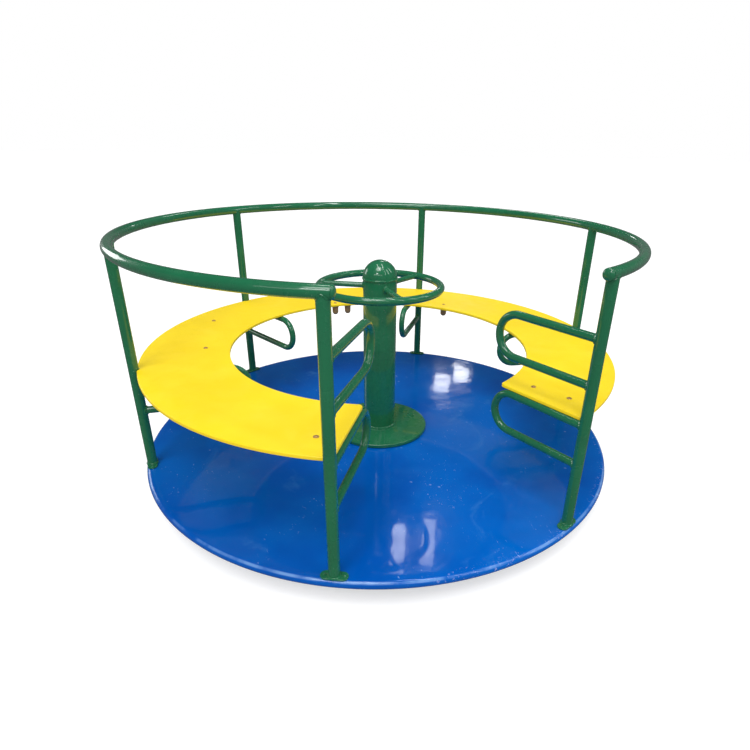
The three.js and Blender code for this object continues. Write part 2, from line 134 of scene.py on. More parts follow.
# ---- Material nodes ---------------------------------------------------------------------------
class Finish:
    """A Principled material whose patterns are measured in metres on the piece itself."""

    def __init__(self, name, **sockets):
        self.material = bpy.data.materials.new(name)
        self.material.use_nodes = True
        self.tree = self.material.node_tree
        self.shader = self.tree.nodes["Principled BSDF"]
        self.place = self.node("ShaderNodeTexCoord").outputs["Object"]
        for socket, value in sockets.items():
            self.shader.inputs[socket.replace("_", " ")].default_value = value

    def node(self, kind, **settings):
        made = self.tree.nodes.new(kind)
        for key, value in settings.items():
            setattr(made, key, value)
        return made

    def feed(self, socket, value):
        if isinstance(value, bpy.types.NodeSocket):
            self.tree.links.new(value, socket)
        else:
            socket.default_value = value

    def stretched(self, scale):
        mapping = self.node("ShaderNodeMapping")
        self.feed(mapping.inputs["Vector"], self.place)
        mapping.inputs["Scale"].default_value = scale
        return mapping.outputs["Vector"]

    def noise(self, scale, detail=3.0, roughness=0.5, distortion=0.0, place=None):
        made = self.node("ShaderNodeTexNoise")
        self.feed(made.inputs["Vector"], place or self.place)
        made.inputs["Scale"].default_value = scale
        made.inputs["Detail"].default_value = detail
        made.inputs["Roughness"].default_value = roughness
        made.inputs["Distortion"].default_value = distortion
        return made.outputs["Fac"]

    def cells(self, scale, output="Distance"):
        made = self.node("ShaderNodeTexVoronoi")
        self.feed(made.inputs["Vector"], self.place)
        made.inputs["Scale"].default_value = scale
        return made.outputs[output]

    def span(self, value, low, high, to_low=0.0, to_high=1.0):
        """The value mapped smoothly from low..high to to_low..to_high, and held at both ends."""
        made = self.node("ShaderNodeMapRange", interpolation_type="SMOOTHSTEP")
        self.feed(made.inputs["Value"], value)
        limits = {"From Min": low, "From Max": high, "To Min": to_low, "To Max": to_high}
        for socket, number in limits.items():
            made.inputs[socket].default_value = number
        return made.outputs["Result"]

    def maths(self, operation, a, b=0.0):
        made = self.node("ShaderNodeMath", operation=operation)
        self.feed(made.inputs[0], a)
        self.feed(made.inputs[1], b)
        return made.outputs["Value"]

    def mix(self, factor, a, b):
        """A blend of two colours. Inputs 6 and 7 and output 2 are the Mix node's colour sockets."""
        made = self.node("ShaderNodeMix", data_type="RGBA")
        self.feed(made.inputs["Factor"], factor)
        for socket, value in ((made.inputs[6], a), (made.inputs[7], b)):
            self.feed(socket, value if isinstance(value, bpy.types.NodeSocket) else (*value, 1.0))
        return made.outputs[2]

    def axis(self, index):
        made = self.node("ShaderNodeSeparateXYZ")
        self.feed(made.inputs[0], self.place)
        return made.outputs[index]

    def radius(self):
        """The distance from the turning axis."""
        x, y = self.axis(0), self.axis(1)
        squares = self.maths("ADD", self.maths("MULTIPLY", x, x), self.maths("MULTIPLY", y, y))
        return self.maths("SQRT", squares)

    def facing_up(self):
        made = self.node("ShaderNodeSeparateXYZ")
        self.feed(made.inputs[0], self.node("ShaderNodeNewGeometry").outputs["Normal"])
        return made.outputs[2]

    def bump(self, *layers):
        """Each layer is (height pattern, depth in metres)."""
        normal = None
        for value, depth in layers:
            made = self.node("ShaderNodeBump")
            made.inputs["Strength"].default_value = 1.0
            made.inputs["Distance"].default_value = depth
            self.feed(made.inputs["Height"], value)
            if normal:
                self.feed(made.inputs["Normal"], normal)
            normal = made.outputs["Normal"]
        self.feed(self.shader.inputs["Normal"], normal)

    def set(self, socket, value):
        self.feed(self.shader.inputs[socket], value)


def green_paint():
    """Gloss enamel on tube: orange peel, a little dust on top, and small chips."""
    made = Finish("green_gloss_enamel", Coat_Weight=0.9, Coat_Roughness=0.03, IOR=1.3)
    clouds = made.span(made.noise(7, 4), 0.35, 0.65)
    grain = made.span(made.noise(55, 3), 0.3, 0.7)
    colour = made.mix(clouds, (0.009, 0.111, 0.048), (0.011, 0.127, 0.055))
    colour = made.mix(made.maths("MULTIPLY", grain, 0.10), colour, (0.014, 0.150, 0.062))
    dust = made.maths(
        "MULTIPLY",
        made.span(made.facing_up(), 0.55, 1.0),
        made.span(made.noise(22, 5), 0.45, 0.75),
    )
    colour = made.mix(made.maths("MULTIPLY", dust, 0.07), colour, (0.09, 0.24, 0.13))
    chips = made.maths(
        "MULTIPLY",
        made.span(made.noise(260, 2, 0.6, 0.6), 0.70, 0.73),
        made.span(made.noise(9, 2), 0.52, 0.62),
    )
    colour = made.mix(chips, colour, (0.30, 0.33, 0.30))
    made.set("Base Color", colour)
    rough = made.span(made.noise(18, 4), 0.3, 0.7, 0.20, 0.33)
    rough = made.maths("ADD", rough, made.maths("MULTIPLY", dust, 0.16))
    made.set("Roughness", made.maths("ADD", rough, made.maths("MULTIPLY", chips, 0.3)))
    made.bump(
        (made.noise(60, 2), 0.00008),
        (made.noise(620, 2), 0.00002),
        (chips, -0.00015),
    )
    return made.material


def blue_paint():
    """Thick gloss enamel on a large sheet: slow waves, scuffs, and a chipped rolled edge whose crest
    carries a painted highlight, a pale line that is partly rubbed paint.
    """
    made = Finish("blue_gloss_enamel", Coat_Weight=0.30, Coat_Roughness=0.03, IOR=1.30)
    clouds = made.span(made.noise(3.2, 4), 0.35, 0.65)
    colour = made.mix(clouds, (0.000, 0.070, 0.360), (0.000, 0.098, 0.430))
    film = made.span(made.noise(4.4, 6, 0.62, 0.8), 0.60, 0.78)
    colour = made.mix(made.maths("MULTIPLY", film, 0.30), colour, (0.06, 0.22, 0.52))
    scuffs = made.maths(
        "MULTIPLY",
        made.span(made.noise(150, 3, 0.6, 1.2, made.stretched((1.0, 0.35, 1.0))), 0.66, 0.72),
        made.span(made.noise(6.5, 3), 0.50, 0.64),
    )
    specks = made.maths(
        "MULTIPLY",
        made.span(made.cells(17), 0.11, 0.06),
        made.span(made.noise(31, 1), 0.56, 0.62),
    )
    marks = made.maths(
        "MAXIMUM",
        made.maths("MULTIPLY", scuffs, 0.45),
        made.maths("MULTIPLY", specks, 0.22),
    )
    colour = made.mix(marks, colour, (0.42, 0.56, 0.78))
    edge = made.span(made.radius(), RIM_RADIUS - 0.034, RIM_RADIUS - 0.008)
    chips = made.maths(
        "MULTIPLY",
        made.maths("MULTIPLY", edge, made.span(made.noise(95, 5, 0.7, 0.8), 0.58, 0.64)),
        made.span(made.noise(3.6, 2), 0.50, 0.64),
    )
    colour = made.mix(made.maths("MULTIPLY", chips, 0.6), colour, (0.40, 0.43, 0.70))
    # Painted highlight: a pale, broken line along the rim's crest, partly rubbed paint, partly light
    # painted into the colour.
    crest_highlight_band = made.maths(
        "MULTIPLY",
        made.span(made.radius(), RIM_RADIUS - 0.0105, RIM_RADIUS - 0.0070),
        made.span(made.radius(), RIM_RADIUS - 0.0012, RIM_RADIUS - 0.0040),
    )
    painted_crest_highlight = made.maths("MULTIPLY", crest_highlight_band, made.span(made.noise(7, 4, 0.6), 0.40, 0.66))
    colour = made.mix(made.maths("MULTIPLY", painted_crest_highlight, 0.42), colour, (0.30, 0.52, 0.82))
    made.set("Base Color", colour)
    rough = made.span(made.noise(5, 5, 0.6), 0.3, 0.7, 0.06, 0.14)
    rough = made.maths("ADD", rough, made.maths("MULTIPLY", marks, 0.35))
    made.set("Roughness", made.maths("ADD", rough, made.maths("MULTIPLY", chips, 0.3)))
    made.bump(
        (made.noise(11, 2), 0.0009),
        (made.noise(120, 2), 0.00008),
        (made.maths("MAXIMUM", chips, marks), -0.00012),
    )
    return made.material


def yellow_plastic():
    """Satin moulded plastic board: fine grain, paler where people sit, and specks of dirt."""
    made = Finish("yellow_satin_plastic", Coat_Weight=0.12, Coat_Roughness=0.2, IOR=1.42)
    clouds = made.span(made.noise(4, 4), 0.3, 0.7)
    colour = made.mix(clouds, (0.840, 0.605, 0.004), (0.870, 0.640, 0.006))
    worn = made.span(made.noise(9, 5, 0.6, 0.5), 0.52, 0.75)
    colour = made.mix(made.maths("MULTIPLY", worn, 0.20), colour, (0.91, 0.69, 0.05))
    grime = made.maths(
        "MULTIPLY",
        made.span(made.noise(120, 4, 0.65, 0.8), 0.62, 0.74),
        made.span(made.noise(13, 3), 0.48, 0.66),
    )
    colour = made.mix(made.maths("MULTIPLY", grime, 0.35), colour, (0.45, 0.33, 0.08))
    made.set("Base Color", colour)
    made.set("Roughness", made.span(made.noise(14, 5, 0.6), 0.3, 0.7, 0.34, 0.50))
    made.bump((made.noise(420, 3), 0.00006), (made.noise(60, 2), 0.00012))
    return made.material


def structure_paint():
    """Dull grey anti-rust primer on the steel under the platform, with dust and rust blooms."""
    made = Finish("grey_primer", IOR=1.45)
    clouds = made.span(made.noise(14, 5), 0.3, 0.7)
    colour = made.mix(clouds, (0.040, 0.046, 0.054), (0.070, 0.076, 0.084))
    rust = made.span(made.noise(38, 6, 0.7, 1.0), 0.64, 0.74)
    colour = made.mix(made.maths("MULTIPLY", rust, 0.8), colour, (0.150, 0.052, 0.018))
    made.set("Base Color", colour)
    made.set("Roughness", made.span(made.noise(45, 4), 0.3, 0.7, 0.50, 0.75))
    made.bump((made.noise(300, 4), 0.0001), (rust, 0.00012))
    return made.material


def zinc_coat():
    """Hot-dip galvanising: crystals of several greys and a dull, slightly rough skin."""
    made = Finish("hot_dip_zinc", Metallic=0.9, IOR=1.5)
    spangle = made.cells(70, "Color")
    tone = made.node("ShaderNodeSeparateColor")
    made.feed(tone.inputs[0], spangle)
    grey = tone.outputs[0]
    colour = made.mix(grey, (0.36, 0.38, 0.39), (0.52, 0.54, 0.55))
    stain = made.span(made.noise(16, 5, 0.6), 0.55, 0.75)
    made.set("Base Color", made.mix(made.maths("MULTIPLY", stain, 0.5), colour, (0.22, 0.20, 0.17)))
    made.set("Roughness", made.span(grey, 0.0, 1.0, 0.38, 0.58))
    made.bump((made.noise(220, 3), 0.00008))
    return made.material


def turned_steel():
    """Steel turned on a lathe: fine rings along the axis, and a thin film of grease."""
    made = Finish("turned_steel", Metallic=1.0)
    rings = made.noise(1.0, 2, 0.5, 0.0, made.stretched((6, 6, 2600)))
    film = made.span(made.noise(40, 4), 0.35, 0.7)
    colour = made.mix(rings, (0.50, 0.51, 0.53), (0.62, 0.63, 0.65))
    made.set("Base Color", made.mix(made.maths("MULTIPLY", film, 0.45), colour, (0.30, 0.26, 0.18)))
    made.set("Roughness", made.span(film, 0.0, 1.0, 0.18, 0.36))
    made.bump((rings, 0.00002))
    return made.material


def ground_steel():
    """Hardened bearing steel, ground bright, with greasy smears."""
    made = Finish("ground_bearing_steel", Metallic=1.0)
    smear = made.span(made.noise(60, 4, 0.6, 0.8), 0.4, 0.7)
    made.set("Base Color", made.mix(smear, (0.66, 0.67, 0.69), (0.42, 0.37, 0.27)))
    made.set("Roughness", made.span(smear, 0.0, 1.0, 0.10, 0.30))
    made.bump((made.noise(1.0, 2, 0.5, 0.0, made.stretched((9, 9, 3500))), 0.00001))
    return made.material


def seal_rubber():
    """Black nitrile rubber with dust in its pores."""
    made = Finish("nitrile_rubber", IOR=1.5)
    dust = made.span(made.noise(90, 5, 0.6), 0.5, 0.75)
    pores = made.maths("MULTIPLY", dust, 0.5)
    made.set("Base Color", made.mix(pores, (0.010, 0.010, 0.011), (0.10, 0.09, 0.075)))
    made.set("Roughness", made.span(dust, 0.0, 1.0, 0.55, 0.85))
    made.bump((made.noise(700, 3), 0.00005))
    return made.material


def bolt_metal():
    """Yellow-passivated bolts that have browned out of doors."""
    made = Finish("browned_bolt_steel", IOR=1.5)
    rust = made.span(made.noise(140, 5, 0.65, 0.6), 0.42, 0.66)
    made.set("Base Color", made.mix(rust, (0.60, 0.37, 0.15), (0.36, 0.165, 0.065)))
    made.set("Metallic", made.span(rust, 0.0, 1.0, 0.75, 0.10))
    made.set("Roughness", made.span(rust, 0.0, 1.0, 0.34, 0.72))
    made.bump((made.noise(900, 3), 0.00006), (rust, 0.00008))
    return made.material


GREEN = green_paint()
BLUE = blue_paint()
YELLOW = yellow_plastic()
PRIMER = structure_paint()
ZINC = zinc_coat()
TURNED = turned_steel()
GROUND = ground_steel()
RUBBER = seal_rubber()
BOLT = bolt_metal()


# ---- Meshes -----------------------------------------------------------------------------------
# A shell is a pair of lists: vertices and faces. A piece is made of one or more closed shells.
def rounded(corners, steps=4):
    """A closed outline from (x, y, fillet) corners, each fillet an arc of the given steps."""
    outline = []
    for i, (x, y, fillet) in enumerate(corners):
        here = Vector((x, y))
        if not fillet:
            outline.append(here)
            continue
        before = (Vector(corners[i - 1][:2]) - here).normalized()
        after = (Vector(corners[(i + 1) % len(corners)][:2]) - here).normalized()
        half = before.angle(after) / 2
        centre = here + (before + after).normalized() * fillet / math.sin(half)
        start = here + before * fillet / math.tan(half) - centre
        turn = start.angle_signed(here + after * fillet / math.tan(half) - centre)
        for step in range(steps + 1):
            outline.append(centre + Matrix.Rotation(-turn * step / steps, 2) @ start)
    return outline


def grid_faces(rows, columns, rows_close, columns_close=True):
    faces = []
    for i in range(rows if rows_close else rows - 1):
        for j in range(columns if columns_close else columns - 1):
            following, beside = (i + 1) % rows, (j + 1) % columns
            faces.append((
                i * columns + j,
                i * columns + beside,
                following * columns + beside,
                following * columns + j,
            ))
    return faces


def turned(outline, segments, at=Vector()):
    """A closed body of revolution about Z. An outline that touches the axis starts and ends on it."""
    solid = abs(outline[0][0]) < 1e-7
    ring = outline[1:-1] if solid else outline
    vertices = []
    for i in range(segments):
        angle = 2 * math.pi * i / segments
        for radius, z in ring:
            vertices.append(at + polar(radius, angle, z))
    faces = grid_faces(segments, len(ring), True, not solid)
    if solid:
        low, high = len(vertices), len(vertices) + 1
        vertices += [at + Vector((0, 0, outline[0][1])), at + Vector((0, 0, outline[-1][1]))]
        for i in range(segments):
            here, there = i * len(ring), (i + 1) % segments * len(ring)
            faces.append((low, here, there))
            faces.append((high, there + len(ring) - 1, here + len(ring) - 1))
    return vertices, faces


def swept(path, radius, sides, reference, closed=False):
    """A round bar along a path. The reference direction is never along the path."""
    count = len(path)
    vertices = []
    for i, point in enumerate(path):
        if closed:
            along = path[(i + 1) % count] - path[i - 1]
        else:
            along = path[min(i + 1, count - 1)] - path[max(i - 1, 0)]
        along.normalize()
        across = reference.cross(along).normalized()
        over = along.cross(across)
        size = radius[i] if isinstance(radius, list) else radius
        for j in range(sides):
            angle = 2 * math.pi * j / sides
            vertices.append(point + (across * math.cos(angle) + over * math.sin(angle)) * size)
    faces = grid_faces(count, sides, closed)
    if not closed:
        faces.append(tuple(range(sides)))
        faces.append(tuple(reversed(range((count - 1) * sides, count * sides))))
    return vertices, faces


def raised(outline, low, high, edge, steps=3, place=Matrix()):
    """A plate from a plan outline that can be inset: outline(inset) gives its points."""
    rings = []
    for i in range(steps + 1):
        angle = math.pi / 2 * i / steps
        rings.append((edge * (1 - math.sin(angle)), low + edge * (1 - math.cos(angle))))
    rings += [(inset, low + high - z) for inset, z in reversed(rings)]
    vertices = []
    for inset, z in rings:
        vertices += [place @ Vector((x, y, z)) for x, y in outline(inset)]
    sides = len(vertices) // len(rings)
    faces = grid_faces(len(rings), sides, False)
    faces.append(tuple(reversed(range(sides))))
    faces.append(tuple(range((len(rings) - 1) * sides, len(rings) * sides)))
    return vertices, faces


def moved(shell, matrix):
    vertices, faces = shell
    return [matrix @ vertex for vertex in vertices], faces


def piece(name, shells, material, body, nodes=(), flat_sides=False, sharp=38):
    """One object from closed shells, facing outwards, with its material, body and CAD nodes."""
    vertices, faces = [], []
    for shell_vertices, shell_faces in shells:
        start = len(vertices)
        vertices += shell_vertices
        faces += [tuple(start + corner for corner in face) for face in shell_faces]
    mesh = bpy.data.meshes.new(name)
    mesh.from_pydata([tuple(vertex) for vertex in vertices], [], faces)
    mesh.validate()
    face_outwards(mesh)
    mesh.polygons.foreach_set("use_smooth", [True] * len(mesh.polygons))
    mesh.set_sharp_from_angle(angle=math.radians(sharp))
    mesh.materials.append(material)
    made = bpy.data.objects.new(name, mesh)
    bpy.context.scene.collection.objects.link(made)
    if flat_sides:
        made.modifiers.new("even_flats", "WEIGHTED_NORMAL").keep_sharp = True
    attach(made, body)
    if nodes:
        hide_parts(*nodes)
    return made


def face_outwards(mesh):
    shape = bmesh.new()
    shape.from_mesh(mesh)
    bmesh.ops.recalc_face_normals(shape, faces=shape.faces)
    shape.to_mesh(mesh)
    shape.free()


# ---- Welds ------------------------------------------------------------------------------------
def weld(path, size, reference):
    """A closed bead with the scallops of a hand-made weld."""
    pitch = 0.0042
    travelled = 0.0
    sizes = []
    for i, point in enumerate(path):
        travelled += (point - path[i - 1]).length
        scallop = 1 - (travelled / pitch) % 1.0
        lump = noise.noise(point * 160) + 0.5 * noise.noise(point * 420)
        sizes.append(size * (0.94 + 0.16 * scallop + 0.16 * lump))
    return swept(path, sizes, 8, reference, True)


def ring_weld(radius, z, size, at=Vector(), steps=None):
    steps = steps or max(48, int(2 * math.pi * radius / 0.0012))
    path = [at + polar(radius, 2 * math.pi * i / steps, z) for i in range(steps)]
    return weld(path, size, Vector((0, 0, 1)))


def branch_weld(foot, along, branch, trunk, size, steps=72):
    """A bead where a level tube, running from foot along a level direction, leaves an upright one."""
    lateral = Vector((0, 0, 1)).cross(along)
    path = []
    for i in range(steps):
        angle = 2 * math.pi * i / steps
        u, v = branch * math.cos(angle), branch * math.sin(angle)
        path.append(foot + lateral * u + Vector((0, 0, v)) + along * math.sqrt(trunk * trunk - u * u))
    return weld(path, size, along)


# ---- Platform ---------------------------------------------------------------------------------
def deck_wave(x, y):
    """The slow unevenness of a large sheet, in metres."""
    slow = noise.noise(Vector((x * 3.1, y * 3.1, 0.3)))
    return 0.0006 * slow + 0.00025 * noise.noise(Vector((x * 8.3, y * 8.3, 4.1)))


def add_platform():
    """One sheet with a bore for the hub, rolled over a hoop at its edge."""
    rim_centre = RIM_RADIUS - RIM_TUBE
    bore = HUB_RADIUS + GAP
    rings = 40
    outline = [(bore + (rim_centre - bore) * i / rings, DECK_TOP) for i in range(rings)]
    under = math.asin((DECK_UNDER - DECK_TOP + RIM_TUBE) / RIM_TUBE)
    steps = 22
    for i in range(steps + 1):
        angle = math.pi / 2 - (3 * math.pi / 2 + under) * i / steps
        z = DECK_TOP - RIM_TUBE + RIM_TUBE * math.sin(angle)
        outline.append((rim_centre + RIM_TUBE * math.cos(angle), z))
    outline += [(bore + (rim_centre - bore) * i / rings, DECK_UNDER) for i in reversed(range(rings - 1))]
    vertices, faces = turned(outline, 224)
    for vertex in vertices:
        inner = min(1.0, max(0.0, (rim_centre - math.hypot(vertex.x, vertex.y)) / 0.08))
        if vertex.z > DECK_UNDER - 0.001:
            vertex.z += deck_wave(vertex.x, vertex.y) * inner
    piece("platform_sheet", [(vertices, faces)], BLUE, CAROUSEL, ["deck_sheet", "deck_rim"], sharp=60)


def add_arms():
    """Rectangular tubes from the hub to the rim, each with a weld bead at the hub."""
    width, height = 0.040, 0.030
    start, end = HUB_RADIUS + GAP, RIM_RADIUS - 2 * RIM_TUBE - 0.002
    top = DECK_UNDER - GAP
    for number in range(1, UPRIGHT_COUNT + 1):
        section = rounded([
            (-width / 2, top - height, 0.004),
            (width / 2, top - height, 0.004),
            (width / 2, top, 0.004),
            (-width / 2, top, 0.004),
        ])
        spin = Matrix.Rotation(upright_azimuth(number), 4, "Z")
        stations = [start + (end - start) * i / 12 for i in range(13)]
        vertices = [spin @ Vector((x, y, z)) for x in stations for y, z in section]
        faces = grid_faces(len(stations), len(section), False)
        faces.append(tuple(range(len(section))))
        faces.append(tuple(reversed(range(len(vertices) - len(section), len(vertices)))))
        beads = [spin @ Vector((start + 0.001, y, z)) for y, z in resample(section, 0.0014)]
        bead = weld(beads, 0.0030, spin @ Vector((1, 0, 0)))
        shells = [(vertices, faces), bead]
        piece(f"arm_tube_{number}", shells, PRIMER, CAROUSEL, [f"deck_arm_{number}"], True)


def resample(outline, spacing):
    """Points at about even spacing along a closed outline."""
    points = []
    for i, start in enumerate(outline):
        end = outline[(i + 1) % len(outline)]
        count = max(1, round((end - start).length / spacing))
        points += [start.lerp(end, step / count) for step in range(count)]
    return points


# ---- Uprights, feet and brackets --------------------------------------------------------------
def foot_outline(inset):
    """A slot shape whose long side lies along the rim."""
    radius = FOOT_WIDTH / 2 - inset
    half = (FOOT_LENGTH - FOOT_WIDTH) / 2
    steps = 14
    points = []
    for side in (1, -1):
        for i in range(steps + 1):
            angle = math.pi * i / steps
            x, y = radius * math.cos(angle), half + radius * math.sin(angle)
            points.append((side * x, side * y))
    return points


def screw_head(at, radius, height):
    """A low domed head on a thin washer."""
    washer = rounded([
        (0, 0, 0),
        (radius * 1.45, 0, 0),
        (radius * 1.45, 0.0012, 0.0004),
        (radius, 0.0014, 0),
        (radius, height * 0.45, height * 0.3),
        (radius * 0.55, height, height * 0.3),
        (0, height, 0),
    ], 3)
    return turned(washer, 28, at)


def add_uprights():
    """Tubes welded to the rail and to their foot plates, and the plates with their screws."""
    sides = 40
    stations = 24
    for number in range(1, UPRIGHT_COUNT + 1):
        azimuth = upright_azimuth(number)
        spin = Matrix.Rotation(azimuth, 4, "Z")
        foot = polar(RING_RADIUS, azimuth)
        heights = [FOOT_TOP + (RAIL_Z - FOOT_TOP) * i / stations for i in range(stations + 1)]
        path = [foot + Vector((0, 0, z)) for z in heights]
        tube = swept(path, TUBE, sides, spin @ Vector((1, 0, 0)))
        foot_bead = ring_weld(TUBE, FOOT_TOP + 0.0006, 0.0038, foot, 80)
        rail_bead = weld(rail_joint(foot, spin), 0.0021, Vector((0, 0, 1)))
        shells = [tube, foot_bead, rail_bead]
        piece(f"rail_upright_{number}", shells, GREEN, CAROUSEL, [f"upright_{number}"])

        place = Matrix.Translation(foot) @ spin
        plate = raised(foot_outline, FOOT_LOW, FOOT_TOP, 0.0014, 3, place)
        spots = [place @ Vector((0, side * FOOT_SCREW, FOOT_TOP)) for side in (-1, 1)]
        shells = [plate] + [screw_head(spot, 0.0044, 0.0036) for spot in spots]
        piece(f"upright_foot_{number}", shells, GREEN, CAROUSEL, [f"foot_plate_{number}"], True)


def rail_joint(foot, spin):
    """The saddle curve where an upright runs into the rail, which has the same radius."""
    steps = 84
    path = []
    for i in range(steps):
        angle = 2 * math.pi * i / steps
        drop = TUBE * math.sqrt(math.sin(angle) ** 2 + 0.02)
        offset = spin @ Vector((TUBE * math.cos(angle), TUBE * math.sin(angle), 0))
        path.append(foot + offset + Vector((0, 0, RAIL_Z - drop)))
    return path


def bracket_direction(number, yaw):
    """The level direction of a bracket, from its upright towards the middle."""
    return polar(1, upright_azimuth(number) + math.pi - math.radians(yaw))


def hairpin(number, yaw, reach, top, legs):
    """A tube that runs in from the upright, round a half circle and back."""
    inward = bracket_direction(number, yaw)
    post = polar(RING_RADIUS, upright_azimuth(number))
    bend = legs / 2
    straight = reach - bend
    depth = TUBE * 0.4

    def leg(height):
        """Points from inside the upright to the start of the bend."""
        spots = [depth + (straight - depth) * i / 8 for i in range(9)]
        return [post + inward * spot + Vector((0, 0, height)) for spot in spots]

    path = leg(top)
    steps = 28
    centre = post + inward * straight + Vector((0, 0, top - bend))
    for i in range(1, steps):
        angle = math.pi / 2 - math.pi * i / steps
        path.append(centre + inward * bend * math.cos(angle) + Vector((0, 0, bend * math.sin(angle))))
    path += reversed(leg(top - legs))
    side = Vector((0, 0, 1)).cross(inward)
    tube = swept(path, BRACKET_TUBE, 28, side)
    beads = [
        branch_weld(post + Vector((0, 0, z)), inward, BRACKET_TUBE, TUBE, 0.0036)
        for z in (top, top - legs)
    ]
    return [tube] + beads


def add_brackets():
    for number in range(1, UPRIGHT_COUNT + 1):
        yaw, reach = BRACKET_YAW[number - 1], SUPPORT_REACH[number - 1]
        shells = hairpin(number, yaw, reach, SUPPORT_TOP, SUPPORT_LEGS)
        piece(f"bent_bracket_{number}", shells, GREEN, CAROUSEL, [f"seat_bracket_{number}"])
    for number, yaw in ARMREST_YAW.items():
        shells = hairpin(number, yaw, ARMREST_REACH, ARMREST_TOP[number], ARMREST_LEGS)
        piece(f"bent_armrest_{number}", shells, GREEN, CAROUSEL, [f"armrest_{number}"])


# ---- Guard rail -------------------------------------------------------------------------------
def add_rail():
    """The open hoop, and a domed plug welded into each of its two ends."""
    start = upright_azimuth(UPRIGHT_COUNT) + 2 * math.pi - RAIL_OVERRUN[UPRIGHT_COUNT] / RING_RADIUS
    end = upright_azimuth(1) + 2 * math.pi + RAIL_OVERRUN[1] / RING_RADIUS
    steps = 220
    path = [polar(RING_RADIUS, start + (end - start) * i / steps, RAIL_Z) for i in range(steps + 1)]
    piece("guard_rail", [swept(path, TUBE, 40, Vector((0, 0, 1)))], GREEN, CAROUSEL, ["top_rail"])

    for number, azimuth, sense in ((UPRIGHT_COUNT, start, -1), (1, end, 1)):
        outward = polar(1, azimuth + math.pi / 2) * sense
        place = Matrix.Translation(polar(RING_RADIUS, azimuth, RAIL_Z) + outward * 0.0006)
        place = place @ outward.to_track_quat("Z", "Y").to_matrix().to_4x4()
        profile = [(0, 0), (TUBE - 0.001, 0), (TUBE, 0.0012)]
        for i in range(1, 12):
            angle = math.pi / 2 * i / 12
            profile.append((TUBE * math.cos(angle), 0.0012 + 0.0088 * math.sin(angle)))
        profile.append((0, 0.0100))
        plug = moved(turned(profile, 40), place)
        bead = moved(ring_weld(TUBE - 0.0016, 0.0, 0.0012, Vector(), 80), place)
        piece(f"rail_end_plug_{number}", [plug, bead], GREEN, CAROUSEL, [f"rail_end_cap_{number}"])


# ---- Seat -------------------------------------------------------------------------------------
def seat_end(number, side, radius, inset):
    """Where the straight end of the seat crosses a circle."""
    inward = bracket_direction(number, BRACKET_YAW[number - 1])
    beside = Vector((inward.y, -inward.x, 0)) * side * (SEAT_OVERHANG - inset)
    origin = polar(RING_RADIUS, upright_azimuth(number)) + beside
    along = origin.dot(inward)
    travel = -along - math.sqrt(along * along - origin.length_squared + radius * radius)
    return origin + inward * travel


def seat_outline(inset):
    """A C-shaped board with rounded corners, notched round the uprights."""
    outer, inner = SEAT_OUTER - inset, SEAT_INNER + inset
    notch = TUBE + 0.0010 + inset
    corner = 0.014
    last, first = UPRIGHT_COUNT, 1
    ends = [
        seat_end(last, -1, outer, inset),
        seat_end(first, 1, outer, inset),
        seat_end(first, 1, inner, inset),
        seat_end(last, -1, inner, inset),
    ]
    angles = [math.atan2(point.y, point.x) for point in ends]

    def arc(start, end, radius, count, notched):
        points = []
        margin = 0.030 / radius
        for i in range(count + 1):
            azimuth = start + margin + (end - start - 2 * margin) * i / count
            reach = radius
            if notched:
                for number in range(1, UPRIGHT_COUNT + 1):
                    offset = math.remainder(azimuth - upright_azimuth(number), 2 * math.pi)
                    sideways = RING_RADIUS * math.sin(offset)
                    if abs(offset) < 0.1 and abs(sideways) < notch:
                        depth = math.sqrt(notch * notch - sideways * sideways)
                        reach = min(reach, RING_RADIUS * math.cos(offset) - depth)
            points.append((reach * math.cos(azimuth), reach * math.sin(azimuth), 0))
        return points

    whole = 2 * math.pi
    outer_start, outer_end = angles[0], angles[1] + (whole if angles[1] < angles[0] else 0)
    inner_start, inner_end = angles[3], angles[2] + (whole if angles[2] < angles[3] else 0)
    corners = [(ends[0].x, ends[0].y, corner - inset)]
    corners += arc(outer_start, outer_end, outer, 1400, True)
    corners += [(ends[1].x, ends[1].y, corner - inset), (ends[2].x, ends[2].y, corner - inset)]
    corners += reversed(arc(inner_start, inner_end, inner, 300, False))
    corners += [(ends[3].x, ends[3].y, corner - inset)]
    return rounded(corners, 8)


def add_seat():
    board = raised(seat_outline, SEAT_LOW, SEAT_TOP, 0.0030, 4)
    piece("seat_board", [board], YELLOW, CAROUSEL, ["seat"], True)


def add_seat_bolts():
    """A washer and a low domed head above the board; a washer, a nut and a domed cap below it."""
    for number in range(1, SEAT_BOLT_COUNT + 1):
        low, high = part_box(f"seat_bolt_{number}")
        centre = (low + high) / 2
        add_seat_bolt(f"seat_fixing_{number}", centre.x, centre.y, [f"seat_bolt_{number}"])
    for number, azimuth in EXTRA_BOLTS.items():
        place = polar(EXTRA_BOLT_RADIUS, math.radians(azimuth))
        add_seat_bolt(f"seat_fixing_{number}", place.x, place.y)


def add_seat_bolt(name, x, y, nodes=()):
    head = rounded([
        (0, -0.002, 0),
        (0.0084, -0.002, 0),
        (0.0084, 0.0007, 0.0005),
        (0.0066, 0.0010, 0),
        (0.0060, 0.0024, 0.0010),
        (0.0036, 0.0036, 0.0010),
        (0, 0.0038, 0),
    ], 3)
    top = turned(head, 32, Vector((x, y, SEAT_TOP)))
    cap = rounded([
        (0, -0.0420, 0),
        (0.0085, -0.0415, 0.0040),
        (0.0138, -0.0330, 0.0060),
        (0.0146, -0.0080, 0.0010),
        (0.0168, -0.0050, 0.0010),
        (0.0168, 0.0015, 0),
        (0, 0.0015, 0),
    ], 3)
    below = turned(cap, 32, Vector((x, y, SEAT_LOW)))
    piece(name, [top, below], BOLT, CAROUSEL, nodes, True)


